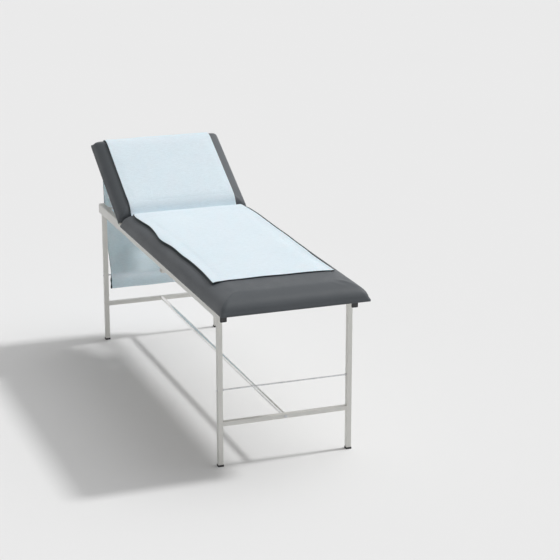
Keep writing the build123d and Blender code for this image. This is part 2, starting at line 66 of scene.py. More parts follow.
JOINTS = {joint["name"]: joint for joint in frame["joints"]}
SEAT_LOW, SEAT_HIGH = (Vector(corner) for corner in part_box("seat_cover"))
HALF_WIDTH = SEAT_HIGH.x
CUSHION_BOTTOM = SEAT_LOW.z
CUSHION_THICKNESS = SEAT_HIGH.z - SEAT_LOW.z
SIDE_ROUNDING = 0.074
END_ROUNDING = 0.079
HINGE = Vector(JOINTS["backrest_hinge"]["pos_m"])
HINGE_GAP = 0.0095              # from the hinge's axis to the backrest cushion's near end
BACK_LENGTH = 0.557             # and to its far end
BACK_ANGLE = math.radians(30.0)
BACK_RISE = CUSHION_BOTTOM - HINGE.z
TAIL_LOW, TAIL_HIGH = (Vector(corner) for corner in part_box("hanging_sheet"))


# Materials

class Shader:
    """Builds one procedural material around a Principled shader."""

    def __init__(self, name, **constants):
        self.material = bpy.data.materials.new(name)
        self.material.use_nodes = True
        self.tree = self.material.node_tree
        self.main = self.tree.nodes["Principled BSDF"]
        for socket, value in constants.items():
            self.main.inputs[socket.replace("_", " ")].default_value = value
        self.place = self.add("ShaderNodeTexCoord").outputs["Object"]

    def add(self, kind, **values):
        node = self.tree.nodes.new(kind)
        for key, value in values.items():
            setattr(node, key, value)
        return node

    def link(self, source, target):
        self.tree.links.new(source, target)

    def mapped(self, scale=(1, 1, 1), turn=(0, 0, 0)):
        node = self.add("ShaderNodeMapping")
        self.link(self.place, node.inputs["Vector"])
        node.inputs["Scale"].default_value = scale
        node.inputs["Rotation"].default_value = turn
        return node.outputs["Vector"]

    def noise(self, scale, detail=4.0, rough=0.55, vector=None):
        node = self.add("ShaderNodeTexNoise")
        self.link(vector or self.place, node.inputs["Vector"])
        node.inputs["Scale"].default_value = scale
        node.inputs["Detail"].default_value = detail
        node.inputs["Roughness"].default_value = rough
        return node.outputs["Fac"]

    def cells(self, scale, feature="DISTANCE_TO_EDGE", vector=None):
        node = self.add("ShaderNodeTexVoronoi", feature=feature)
        self.link(vector or self.place, node.inputs["Vector"])
        node.inputs["Scale"].default_value = scale
        return node.outputs["Distance"]

    def threads(self, scale, vector):
        """Fine parallel threads across the X of the given coordinates."""
        node = self.add("ShaderNodeTexWave", wave_type="BANDS", bands_direction="X",
                        wave_profile="SIN")
        self.link(vector, node.inputs["Vector"])
        node.inputs["Scale"].default_value = scale
        node.inputs["Distortion"].default_value = 0.6
        node.inputs["Detail"].default_value = 1.0
        node.inputs["Detail Scale"].default_value = 0.4
        return node.outputs["Fac"]

    def ramp(self, source, low, high, start=0.0, end=1.0):
        """Turn a 0-1 pattern into a colour between low and high."""
        node = self.add("ShaderNodeValToRGB")
        self.link(source, node.inputs["Fac"])
        first, last = node.color_ramp.elements
        first.position, first.color = start, (*low, 1.0)
        last.position, last.color = end, (*high, 1.0)
        return node.outputs["Color"]

    def span(self, source, low, high, start=0.0, end=1.0):
        """Turn a 0-1 pattern into a number between low and high."""
        node = self.add("ShaderNodeMapRange")
        self.link(source, node.inputs["Value"])
        for socket, value in (("From Min", start), ("From Max", end),
                              ("To Min", low), ("To Max", high)):
            node.inputs[socket].default_value = value
        return node.outputs["Result"]

    def mix(self, amount, first, second, blend="MIX"):
        node = self.add("ShaderNodeMix", data_type="RGBA", blend_type=blend)
        if isinstance(amount, float):
            node.inputs[0].default_value = amount
        else:
            self.link(amount, node.inputs[0])
        for socket, value in ((node.inputs[6], first), (node.inputs[7], second)):
            if isinstance(value, tuple):
                socket.default_value = (*value, 1.0)
            else:
                self.link(value, socket)
        return node.outputs[2]

    def tinted(self, colour, factor):
        """Darken a colour by a 0-1 pattern."""
        grey = self.add("ShaderNodeCombineColor")
        for channel in grey.inputs:
            self.link(factor, channel)
        return self.mix(1.0, colour, grey.outputs["Color"], "MULTIPLY")

    def combine(self, operation, first, second):
        node = self.add("ShaderNodeMath", operation=operation)
        for socket, value in zip(node.inputs, (first, second)):
            if isinstance(value, (int, float)):
                socket.default_value = value
            else:
                self.link(value, socket)
        return node.outputs["Value"]

    def bump(self, height, depth, strength=1.0, under=None):
        node = self.add("ShaderNodeBump")
        self.link(height, node.inputs["Height"])
        node.inputs["Distance"].default_value = depth
        node.inputs["Strength"].default_value = strength
        if under is not None:
            self.link(under, node.inputs["Normal"])
        return node.outputs["Normal"]

    def finish(self, colour=None, roughness=None, normal=None):
        for socket, source in (("Base Color", colour), ("Roughness", roughness),
                               ("Normal", normal)):
            if source is not None:
                self.link(source, self.main.inputs[socket])
        return self.material


def paint_material():
    """Warm light grey powder coat with a faint orange peel and scuffs near the floor."""
    shader = Shader("frame_powder_coat", Coat_Weight=0.12, Coat_Roughness=0.25)
    cloudy = shader.ramp(shader.noise(7.0), (0.765, 0.760, 0.725), (0.805, 0.800, 0.765), 0.3, 0.7)
    height = shader.add("ShaderNodeSeparateXYZ")
    shader.link(shader.place, height.inputs["Vector"])
    low = shader.span(height.outputs["Z"], 1.0, 0.0, 0.01, 0.16)
    specks = shader.span(shader.noise(160.0, 6.0, 0.7), 0.0, 0.5, 0.60, 0.72)
    colour = shader.mix(shader.combine("MULTIPLY", low, specks), cloudy, (0.30, 0.29, 0.27))
    peel = shader.bump(shader.noise(700.0, 2.0), 0.00012, 0.35)
    soft = shader.bump(shader.noise(45.0, 2.0), 0.0004, 0.15, peel)
    return shader.finish(colour, shader.span(shader.noise(60.0), 0.34, 0.46), soft)


def plastic_material():
    """Dark grey moulded plastic with a spark-eroded texture."""
    shader = Shader("moulded_plastic", Specular_IOR_Level=0.4)
    colour = shader.ramp(shader.noise(90.0), (0.042, 0.043, 0.045), (0.062, 0.063, 0.066),
                         0.3, 0.7)
    grain = shader.bump(shader.noise(1500.0, 3.0), 0.00012, 0.6)
    return shader.finish(colour, shader.span(shader.noise(220.0), 0.46, 0.62), grain)


def chrome_material():
    """Bright plated steel, a little smeared."""
    shader = Shader("bright_chrome", Metallic=1.0)
    colour = shader.ramp(shader.noise(30.0), (0.84, 0.84, 0.83), (0.93, 0.93, 0.92), 0.3, 0.7)
    return shader.finish(colour, shader.span(shader.noise(140.0, 5.0), 0.14, 0.24),
                         shader.bump(shader.noise(400.0), 0.00005, 0.3))


def zinc_material():
    """Zinc-plated steel with a drawn grain along its length and dull patches."""
    shader = Shader("zinc_plated_steel", Metallic=1.0)
    drawn = shader.noise(30.0, 5.0, 0.6, shader.mapped((30.0, 1.2, 30.0)))
    patches = shader.noise(55.0, 3.0)
    colour = shader.ramp(patches, (0.56, 0.57, 0.59), (0.72, 0.73, 0.75), 0.3, 0.7)
    return shader.finish(colour, shader.span(drawn, 0.26, 0.44), shader.bump(drawn, 0.00008, 0.4))


def board_material():
    """Pale laminated board with a faint grain along the couch."""
    shader = Shader("laminated_board")
    grain = shader.noise(14.0, 8.0, 0.65, shader.mapped((9.0, 0.6, 9.0)))
    colour = shader.ramp(grain, (0.50, 0.485, 0.445), (0.62, 0.608, 0.572), 0.3, 0.72)
    return shader.finish(colour, shader.span(grain, 0.48, 0.62), shader.bump(grain, 0.0002, 0.35))


def foam_material():
    """Open-cell cushion foam."""
    shader = Shader("cushion_foam", Roughness=0.95)
    cell = shader.cells(900.0)
    colour = shader.ramp(shader.noise(40.0), (0.74, 0.69, 0.50), (0.82, 0.78, 0.60))
    return shader.finish(colour, None, shader.bump(cell, 0.0004, 0.8))


def vinyl_material():
    """Charcoal upholstery vinyl: a fine pebbled grain, soft satin sheen and faint rub marks."""
    shader = Shader("charcoal_vinyl", Specular_IOR_Level=0.34, Sheen_Weight=0.04,
                    Sheen_Roughness=0.45, Sheen_Tint=(0.8, 0.85, 0.9, 1.0))
    clouds = shader.ramp(shader.noise(3.2, 5.0), (0.080, 0.089, 0.098), (0.098, 0.108, 0.118),
                         0.3, 0.7)
    pebbles = shader.cells(520.0)
    # the valleys between the pebbles are painted darker: painted shade of the grain
    grain_valley_shade = shader.span(pebbles, 0.80, 1.0, 0.0, 0.12)
    colour = shader.tinted(clouds, grain_valley_shade)
    rubs = shader.noise(5.0, 7.0, 0.7, shader.mapped((2.0, 0.8, 2.0)))
    roughness = shader.combine("ADD", shader.span(rubs, 0.40, 0.56, 0.3, 0.7),
                               shader.span(pebbles, 0.06, 0.0, 0.0, 0.2))
    grain = shader.bump(pebbles, 0.00035, 0.45)
    pores = shader.bump(shader.noise(1300.0, 2.0), 0.0001, 0.35, grain)
    drift = shader.bump(shader.noise(26.0, 3.0), 0.0010, 0.12, pores)
    return shader.finish(colour, roughness, drift)


def weave(shader, fine):
    """Over-and-under threads across X, and along Y and Z."""
    warp = shader.threads(fine, shader.mapped((1.0, 0.0, 0.0)))
    weft_place = shader.add("ShaderNodeVectorMath", operation="DOT_PRODUCT")
    shader.link(shader.place, weft_place.inputs[0])
    weft_place.inputs[1].default_value = (0.0, 1.0, 1.0)
    along = shader.add("ShaderNodeCombineXYZ")
    shader.link(weft_place.outputs["Value"], along.inputs["X"])
    weft = shader.threads(fine, along.outputs["Vector"])
    return shader.combine("MAXIMUM", warp, weft)


def cloth_material():
    """Pale blue drape sheet: close plain weave with slubs and a soft nap."""
    shader = Shader("pale_blue_drape", Sheen_Weight=0.18, Sheen_Roughness=0.6,
                    Subsurface_Weight=0.25, Subsurface_Radius=(0.5, 0.9, 1.0),
                    Subsurface_Scale=0.003, Specular_IOR_Level=0.22,
                    Sheen_Tint=(0.95, 0.98, 1.0, 1.0))
    clouds = shader.ramp(shader.noise(4.5, 5.0), (0.765, 0.886, 0.968), (0.790, 0.908, 0.988),
                         0.3, 0.7)
    threads = weave(shader, 260.0)
    shade = shader.span(threads, 0.94, 1.0, 0.2, 0.9)
    slubs = shader.span(shader.noise(210.0, 3.0, 0.6, shader.mapped((0.25, 1.0, 1.0))),
                        0.95, 1.02, 0.35, 0.7)
    colour = shader.tinted(clouds, shader.combine("MULTIPLY", shade, slubs))
    woven = shader.bump(threads, 0.0003, 0.5)
    crumple = shader.bump(shader.noise(24.0, 4.0, 0.55), 0.0014, 0.10, woven)
    return shader.finish(colour, shader.span(shader.noise(80.0), 0.78, 0.92), crumple)


def shadow_cord_material():
    """Near-black blue cord: painted shadow of the gap under the drape sheet's edges."""
    shader = Shader("painted_shadow_cord", Sheen_Weight=0.15, Sheen_Roughness=0.5)
    cords = weave(shader, 420.0)
    colour = shader.ramp(shader.noise(300.0, 4.0), (0.010, 0.018, 0.024), (0.022, 0.034, 0.042))
    return shader.finish(colour, shader.span(cords, 0.66, 0.82), shader.bump(cords, 0.0004, 0.7))


def nylon_material():
    """Natural nylon with slight clouding."""
    shader = Shader("natural_nylon", Subsurface_Weight=0.05, Specular_IOR_Level=0.45)
    colour = shader.ramp(shader.noise(120.0), (0.72, 0.72, 0.68), (0.80, 0.80, 0.77), 0.3, 0.7)
    return shader.finish(colour, shader.span(shader.noise(300.0), 0.34, 0.46),
                         shader.bump(shader.noise(900.0), 0.0001, 0.4))


def floor_material():
    """Plain pale studio floor."""
    shader = Shader("studio_floor", Specular_IOR_Level=0.0)
    colour = shader.ramp(shader.noise(0.7, 3.0), (0.800, 0.800, 0.800), (0.806, 0.806, 0.806))
    return shader.finish(colour, shader.span(shader.noise(3.0), 0.9, 1.0))


FINISHES = {
    "frame_paint": paint_material(),
    "black_plastic": plastic_material(),
    "chrome": chrome_material(),
    "zinc_steel": zinc_material(),
    "board": board_material(),
    "foam": foam_material(),
    "vinyl": vinyl_material(),
    "sheet_cloth": cloth_material(),
    "nylon": nylon_material(),
}
# near-black cord material: painted shadow under the sheet's edges
SHADOW_CORD = shadow_cord_material()


def dress_cad_nodes():
    """Give every CAD node the procedural material of its own slot."""
    slots = {row["node"]: row["material_slot"] for row in frame["record"]["subparts"]}
    for name, obj in frame["nodes"].items():
        obj.data.materials.clear()
        obj.data.materials.append(FINISHES[slots[name]])


# Meshes

def new_object(name, vertices, faces):
    mesh = bpy.data.meshes.new(name)
    mesh.from_pydata([tuple(v) for v in vertices], [], faces)
    mesh.validate()
    mesh.update()
    obj = bpy.data.objects.new(name, mesh)
    bpy.context.scene.collection.objects.link(obj)
    return obj


def grid_faces(rows, columns):
    """Four-sided faces of a sheet whose points are laid row by row."""
    return [(k, k + 1, k + 1 + columns, k + columns)
            for j in range(rows - 1) for k in range(j * columns, (j + 1) * columns - 1)]


def points_of(mesh):
    flat = np.empty(len(mesh.vertices) * 3)
    mesh.vertices.foreach_get("co", flat)
    return flat.reshape(-1, 3)


def set_points(mesh, points):
    mesh.vertices.foreach_set("co", np.asarray(points, float).ravel())
    mesh.update()


def settle(obj):
    """Make the modifiers' result the object's own mesh."""
    bpy.context.view_layer.update()
    graph = bpy.context.evaluated_depsgraph_get()
    mesh = bpy.data.meshes.new_from_object(obj.evaluated_get(graph))
    obj.modifiers.clear()
    old, obj.data = obj.data, mesh
    name = old.name
    bpy.data.meshes.remove(old)
    mesh.name = name
    return obj


def run_along(line):
    """Distance along a line of points, from its first."""
    steps = np.linalg.norm(np.diff(line, axis=0), axis=1)
    return np.concatenate(([0.0], np.cumsum(steps)))


def smooth_shaded(obj, material):
    obj.data.materials.clear()
    obj.data.materials.append(material)
    obj.data.shade_smooth()


def back_to_world(points):
    """From (across, along the backrest, above its board) to the couch's frame."""
    across, reach, height = points.T
    height = height + BACK_RISE
    turn_cos, turn_sin = math.cos(BACK_ANGLE), math.sin(BACK_ANGLE)
    return np.column_stack((across,
                            HINGE.y + reach * turn_cos - height * turn_sin,
                            HINGE.z + reach * turn_sin + height * turn_cos))


def seat_to_world(points):
    return points + np.array((0.0, 0.0, CUSHION_BOTTOM))


# Cushions

PAD_VOXEL = 0.0065
PAD_STEP = 0.03                 # between stations on the flat of the pad
PAD_CROWN = 0.0015              # how much the middle of the pad stands above its sides
ARC_DEGREES = (0, 9, 18, 27, 36, 46, 56, 66, 78, 90)
PAD_SHRINK = 0.0006             # the pad starts this much smaller in plan
PAD_LOWER = 0.0035              # and this much lower, then swells
PAD_TRAVEL = 0.0040
PAD_SIDE_TRAVEL = 0.35          # share of the swelling that widens the pad
CORNER_POWER = 11.0             # how square the corner is where the two roundings meet
WRAP = 0.0085                   # the vinyl is pulled down over the edge of the board
WRAP_SNAP = 0.0045              # rounding left by the remesh that is squared up again
WRAP_FADE = 0.006               # above the board, where the squaring up starts
PLEAT_DEPTH = 0.0012
PLEAT_WIDTH = 0.005
PLEAT_START = 0.45              # share of the rounding where a corner's pleat begins
PLEAT_FADE = 0.25
PLEAT_ASIDE = 0.6               # shares of its depth that go inward each way, and down
PLEAT_DOWN = 0.3
HELD_BELOW = 0.003              # the underside that the board holds while the pad swells
PAD_PRESSURE = 4.0
SWELL_FRAMES = 20


def rounded_height(u, v, height):
    """Height over the pad where u and v run from 0 (flat top) to 1 (edge)."""
    out = (u ** CORNER_POWER + v ** CORNER_POWER) ** (1 / CORNER_POWER)
    return height * math.sqrt(max(0.0, 1 - min(1.0, out) ** 2))


def edge_stations(low, high, rounding, middle_step):
    """Positions across a pad: close together over the roundings and even between them."""
    arc = [low + rounding - rounding * math.cos(math.radians(turn)) for turn in ARC_DEGREES]
    count = max(2, round((high - low - 2 * rounding) / middle_step))
    middle = np.linspace(low + rounding, high - rounding, count + 1)[1:-1]
    return arc + list(middle) + [low + high - value for value in reversed(arc)]


def pad_shape(name, low, high):
    """A flat-bottomed pad with elliptical roundings, as a closed mesh in its own frame."""
    half = HALF_WIDTH - PAD_SHRINK
    low, high = low + PAD_SHRINK, high - PAD_SHRINK
    height = CUSHION_THICKNESS - PAD_LOWER
    xs = edge_stations(-half, half, SIDE_ROUNDING, PAD_STEP)
    ys = edge_stations(low, high, END_ROUNDING, PAD_STEP)
    top = []
    for y in ys:
        v = max(0.0, (END_ROUNDING - min(y - low, high - y)) / END_ROUNDING)
        for x in xs:
            u = max(0.0, (SIDE_ROUNDING - (half - abs(x))) / SIDE_ROUNDING)
            crown = PAD_CROWN * (1 - (x / half) ** 2)
            top.append((x, y, rounded_height(u, v, height) + crown * (u < 1) * (v < 1)))
    across, count = len(xs), len(xs) * len(ys)
    faces = grid_faces(len(ys), across)
    edge = ([(i, 0) for i in range(across)] + [(across - 1, j) for j in range(1, len(ys))]
            + [(i, len(ys) - 1) for i in range(across - 2, -1, -1)]
            + [(0, j) for j in range(len(ys) - 2, 0, -1)])
    rim = [i + j * across for i, j in edge]
    skirt = [(top[i][0], top[i][1], -WRAP) for i in rim]
    faces += [(rim[k], count + k, count + (k + 1) % len(rim), rim[(k + 1) % len(rim)])
              for k in range(len(rim))]
    faces.append(tuple(range(count + len(rim) - 1, count - 1, -1)))
    return new_object(name, top + skirt, faces)


def swell(obj):
    """Cloth pressure plumps the pad; its underside is held and no point goes past PAD_TRAVEL."""
    rest = points_of(obj.data)
    held = np.nonzero(rest[:, 2] < HELD_BELOW)[0].tolist()
    group = obj.vertex_groups.new(name="held")
    group.add(held, 1.0, "REPLACE")
    cloth = obj.modifiers.new("Cloth", "CLOTH")
    cloth.settings.quality = 4
    cloth.settings.mass = 0.3
    cloth.settings.use_pressure = True
    cloth.settings.uniform_pressure_force = PAD_PRESSURE
    cloth.settings.effector_weights.gravity = 0.0
    cloth.settings.vertex_group_mass = "held"
    cloth.collision_settings.use_collision = False
    scene = bpy.context.scene
    for step in range(1, SWELL_FRAMES + 1):
        scene.frame_set(step)
    graph = bpy.context.evaluated_depsgraph_get()
    swollen = points_of(obj.evaluated_get(graph).data)
    obj.modifiers.remove(cloth)
    scene.frame_set(1)
    travel = swollen - rest
    far = np.linalg.norm(travel, axis=1, keepdims=True)
    travel *= np.minimum(1.0, PAD_TRAVEL / np.maximum(far, 1e-9))
    travel[:, :2] *= PAD_SIDE_TRAVEL
    set_points(obj.data, rest + travel)
    obj.vertex_groups.clear()


def pleat(points, low, high):
    """A shallow folded pleat down each corner, where the vinyl is gathered."""
    side = (SIDE_ROUNDING - (HALF_WIDTH - np.abs(points[:, 0]))) / SIDE_ROUNDING
    end = (END_ROUNDING - np.minimum(points[:, 1] - low, high - points[:, 1])) / END_ROUNDING
    off_mitre = (side - end) * SIDE_ROUNDING
    deep = np.clip((np.minimum(side, end) - PLEAT_START) / PLEAT_FADE, 0, 1)
    groove = PLEAT_DEPTH * deep * np.exp(-(off_mitre / PLEAT_WIDTH) ** 2)
    points = points.copy()
    points[:, 0] -= np.sign(points[:, 0]) * groove * PLEAT_ASIDE
    points[:, 1] -= np.sign(points[:, 1] - (low + high) / 2) * groove * PLEAT_ASIDE
    points[:, 2] -= groove * PLEAT_DOWN
    return points


def square_wrap(points, low, high):
    """Square up the vinyl's lower edge, where it is stretched tight over the board."""
    points = points.copy()
    share = np.clip((WRAP_FADE - points[:, 2]) / WRAP_FADE, 0, 1)
    half = HALF_WIDTH - PAD_SHRINK
    for axis, near, far in ((0, -half, half), (1, low + PAD_SHRINK, high - PAD_SHRINK)):
        for edge in (near, far):
            close = np.abs(points[:, axis] - edge) < WRAP_SNAP
            points[:, axis] += np.where(close, (edge - points[:, axis]) * share, 0.0)
    under = points[:, 2] < WRAP_SNAP - WRAP
    points[under, 2] = -WRAP
    return points


def cushion(name, low, high, to_world, body, nodes):
    """One upholstered pad, from low to high along the couch, in place of its CAD nodes."""
    pad = pad_shape(name, low, high)
    remesh = pad.modifiers.new("Remesh", "REMESH")
    remesh.mode = "VOXEL"
    remesh.voxel_size = PAD_VOXEL
    settle(pad)
    swell(pad)
    soften = pad.modifiers.new("Soften", "SMOOTH")
    soften.factor = 0.5
    soften.iterations = 3
    divide = pad.modifiers.new("Divide", "SUBSURF")
    divide.levels = divide.render_levels = 1
    settle(pad)
    points = pleat(square_wrap(points_of(pad.data), low, high), low, high)
    set_points(pad.data, to_world(points))
    smooth_shaded(pad, FINISHES["vinyl"])
    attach(pad, body)
    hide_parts(*nodes)
    return pad


# Drape sheet

SHEET_THICKNESS = 0.0016
SHEET_LIFT = 0.0024             # top of the cloth above the vinyl
EDGE_LIFT = 0.0020              # extra lift over the near-black cord that paints the shadow under the edge
EDGE_BAND = 0.016
SHEET_WAVE = 0.0006             # height of the sheet's slow unevenness
EDGE_SHARE = 0.15               # share of the edge's lift that is left past the seat
SEAT_FADE = (0.425, 0.08)       # (Y, length): where that lift fades toward the groove
SHADOW_CORD_FADE = (0.405, 0.06)       # and where the cord under the edge thins
PROBE_START = 0.04              # the sheet is lowered onto the pads from this far above its line
PROBE_REACH = 0.12
SIDE_SLACK = 0.001
SMOOTHINGS = 3
SEAT_ROWS, GROOVE_ROWS, BACK_ROWS, TURN_ROWS = 118, 40, 44, 26
SEAT_FRONT_Y = -0.742
FRONT_SKEW = -0.009             # the front edge runs slightly forward from left to right
FRONT_SKEW_FADE = 0.25
FRONT_WAVE = 0.0012             # and wavers by this
FRONT_WAVE_FADE = 0.1
SEAT_LEFT = ((-0.745, -0.273), (-0.570, -0.2645), (-0.421, -0.263), (-0.310, -0.2675),
             (-0.180, -0.267), (-0.016, -0.278), (0.090, -0.268), (0.176, -0.263),
             (0.300, -0.271), (0.400, -0.273), (0.455, -0.264), (0.60, -0.263))
SEAT_RIGHT = ((-0.750, 0.252), (-0.600, 0.249), (-0.500, 0.250), (-0.423, 0.2535),
              (-0.300, 0.2550), (-0.191, 0.2590), (-0.060, 0.2585), (0.100, 0.2625),
              (0.271, 0.2640), (0.400, 0.257), (0.60, 0.256))
GROOVE_LINE = ((0.4135, 0.756), (0.436, 0.7535), (0.455, 0.746), (0.470, 0.7365),
               (0.4815, 0.7295), (0.4925, 0.7290), (0.5015, 0.7345), (0.5075, 0.7460),
               (0.5165, 0.7635), (0.529, 0.7785), (0.5461, 0.7915))
TUCK = 0.0030                   # the sheet's last row goes this far below the backrest's edge
BACK_FLAT = (HINGE_GAP + END_ROUNDING, BACK_LENGTH - END_ROUNDING)
SEAM_RADIUS = 0.0045            # rolled seam over the backrest's back corner
SEAM_STATIONS = 60
SEAM_PAST = 0.0005              # the seam goes this far past the hanging part's sides
SEAM_BEHIND = 0.0012
SHADOW_CORD_RADIUS = 0.0009            # the radius of the painted-shadow cord, how far it lies below the cloth's top and how far out from its edge
SHADOW_CORD_SUNK = 0.0015              # how far out from its edge
SHADOW_CORD_OUT = 0.0002
SEAT_SWELL = 0.0011             # over the seat it is this much thicker, lower and further out
SEAT_SUNK = 0.0010
SEAT_OUT = 0.0012
PROUD_SWELL = 0.0004            # and where it stands proud, thicker, higher and further out yet
PROUD_RISE = 0.0018
PROUD_OUT = 0.0026
PROUD_ROWS = 8                  # rows over which the right side's shadow cord comes out from the front
SHADOW_CORD_FLATNESS = 1.25
TUBE_SIDES = 10


def fading(positions, fade):
    """1 short of a place along the couch, falling to 0 at it: fade is (place, length)."""
    place, length = fade
    return np.clip((place - positions) / length, 0, 1)


def smooth_through(knots, at):
    """Smooth value at a position, through given (position, value) knots."""
    places = np.array([k[0] for k in knots])
    values = np.array([k[1] for k in knots])
    i = int(np.clip(np.searchsorted(places, at) - 1, 0, len(places) - 2))
    slopes = np.gradient(values, places)
    width = places[i + 1] - places[i]
    t = float(np.clip((at - places[i]) / width, 0, 1))
    return ((1 + 2 * t) * (1 - t) ** 2 * values[i] + t * (1 - t) ** 2 * width * slopes[i]
            + t * t * (3 - 2 * t) * values[i + 1] + t * t * (t - 1) * width * slopes[i + 1])


def over_back(reach, height):
    """(Y, Z) of a place on the backrest: along it from the hinge, and above its board."""
    return tuple(back_to_world(np.array([[0, reach, height]]))[0][1:])


def sheet_line():
    """The sheet's lengthwise line, front edge to the backrest's back corner: (Y, Z)."""
    line = [(y, CUSHION_BOTTOM + CUSHION_THICKNESS)
            for y in np.linspace(SEAT_FRONT_Y, GROOVE_LINE[0][0], SEAT_ROWS)[:-1]]
    knots = np.array(GROOVE_LINE)
    run = run_along(knots)
    for t in np.linspace(0, run[-1], GROOVE_ROWS)[:-1]:
        line.append(tuple(smooth_through(list(zip(run, knots[:, k])), t) for k in (0, 1)))
    for reach in np.linspace(*BACK_FLAT, BACK_ROWS)[:-1]:
        line.append(over_back(reach, CUSHION_THICKNESS))
    for turn in np.linspace(0, math.pi / 2, TURN_ROWS):
        line.append(over_back(BACK_FLAT[1] + END_ROUNDING * math.sin(turn),
                              CUSHION_THICKNESS * math.cos(turn)))
    line.append(over_back(BACK_LENGTH, -TUCK))
    return np.array(line)


def side_drop(across):
    """How far the pad's side rounding falls away below the top."""
    u = max(0.0, (abs(across) - (HALF_WIDTH - SIDE_ROUNDING)) / SIDE_ROUNDING)
    return CUSHION_THICKNESS * (1 - math.sqrt(max(0.0, 1 - u * u)))


def column_shares():
    """Places across the sheet, 0 to 1: closer together near its two edges."""
    inset = np.concatenate(([0.0, 0.004, 0.008, 0.012, 0.018], np.linspace(0.026, 0.5, 46)[:-1]))
    share = np.concatenate((inset, [0.5], 1 - inset[::-1]))
    return np.array(sorted(set(np.round(share, 5))))


def lift_over_pads(pads, line, normal, across):
    """How far above the sheet's line the pads stand, softened so that the cloth bridges dips."""
    trees = [BVHTree.FromPolygons([v.co for v in pad.data.vertices],
                                  [p.vertices for p in pad.data.polygons]) for pad in pads]
    lift = np.zeros(across.shape)
    for j, (base, up) in enumerate(zip(line, normal)):
        for i, x in enumerate(across[j]):
            start = Vector((x, base[0] + up[0] * PROBE_START, base[1] + up[1] * PROBE_START))
            aim = Vector((0, -up[0], -up[1]))
            hits = [tree.ray_cast(start, aim, PROBE_REACH)[3] for tree in trees]
            depth = min((h for h in hits if h is not None), default=PROBE_REACH)
            lift[j, i] = max(PROBE_START - depth, -side_drop(x) - SIDE_SLACK)
    for _ in range(SMOOTHINGS):
        around = np.pad(lift, 1, mode="edge")
        lift = (around[:-2, 1:-1] + around[2:, 1:-1] + around[1:-1, :-2] + around[1:-1, 2:]
                + 4 * lift) / 8
    return lift


def thickened(cloth, offset):
    """Give a laid sheet its thickness, below its points (-1) or on both sides of them (0)."""
    thicken = cloth.modifiers.new("Thicken", "SOLIDIFY")
    thicken.thickness = SHEET_THICKNESS
    thicken.offset = offset
    settle(cloth)
    smooth_shaded(cloth, FINISHES["sheet_cloth"])


def drape_sheet(pads):
    """One continuous cloth over the seat, the hinge groove, the backrest and its top end."""
    line = sheet_line()
    tangent = np.gradient(line, axis=0)
    tangent /= np.linalg.norm(tangent, axis=1, keepdims=True)
    normal = np.column_stack((-tangent[:, 1], tangent[:, 0]))
    run = run_along(line)
    share = column_shares()
    left = np.array([smooth_through(SEAT_LEFT, y) for y in line[:, 0]])
    right = np.array([smooth_through(SEAT_RIGHT, y) for y in line[:, 0]])
    across = left[:, None] + (right - left)[:, None] * share[None, :]

    from_edge = np.minimum(across - left[:, None], right[:, None] - across)
    from_edge = np.minimum(from_edge, run[:, None])
    edge = 1 - np.clip(from_edge / EDGE_BAND, 0, 1)
    on_seat = fading(line[:, 0], SEAT_FADE)[:, None]
    raise_edge = EDGE_LIFT * (edge ** 2) * (EDGE_SHARE + (1 - EDGE_SHARE) * on_seat)
    waves = SHEET_WAVE * (np.sin(across * 21.0 + line[:, :1] * 9.0)
                          * np.sin(line[:, :1] * 13.0 - across * 6.0 + 1.0))
    lift = lift_over_pads(pads, line, normal, across)
    total = lift + SHEET_LIFT + raise_edge + waves + SHEET_WAVE

    y = line[:, :1] + normal[:, :1] * total
    z = line[:, 1:] + normal[:, 1:] * total
    skew = FRONT_SKEW * np.clip(1 - run / FRONT_SKEW_FADE, 0, 1)[:, None] * share[None, :]
    waver = np.clip(1 - run / FRONT_WAVE_FADE, 0, 1)[:, None] * np.sin(share * 19.0)[None, :]
    skew = skew + FRONT_WAVE * waver
    points = np.stack((across, y + skew, z), axis=2)
    cloth = new_object("drape_sheet", points.reshape(-1, 3), grid_faces(*points.shape[:2]))
    thickened(cloth, -1.0)
    return cloth, points, float(run[-1])


def tube(name, path, widths, heights, ups):
    """A closed oval tube along a path."""
    path = np.array(path)
    forward = np.gradient(path, axis=0)
    forward /= np.linalg.norm(forward, axis=1, keepdims=True)
    vertices = []
    for place, ahead, up, width, height in zip(path, forward, ups, widths, heights):
        sideways = np.cross(ahead, up)
        sideways /= np.linalg.norm(sideways)
        over = np.cross(sideways, ahead)
        for k in range(TUBE_SIDES):
            turn = 2 * math.pi * k / TUBE_SIDES
            vertices.append(place + sideways * width * math.cos(turn)
                            + over * height * math.sin(turn))
    faces = []
    for j in range(len(path) - 1):
        this_ring, next_ring = j * TUBE_SIDES, (j + 1) * TUBE_SIDES
        for k in range(TUBE_SIDES):
            beside = (k + 1) % TUBE_SIDES
            faces.append((this_ring + k, this_ring + beside, next_ring + beside, next_ring + k))
    faces.append(tuple(range(TUBE_SIDES - 1, -1, -1)))
    faces.append(tuple(range((len(path) - 1) * TUBE_SIDES, len(path) * TUBE_SIDES)))
    return new_object(name, vertices, faces)


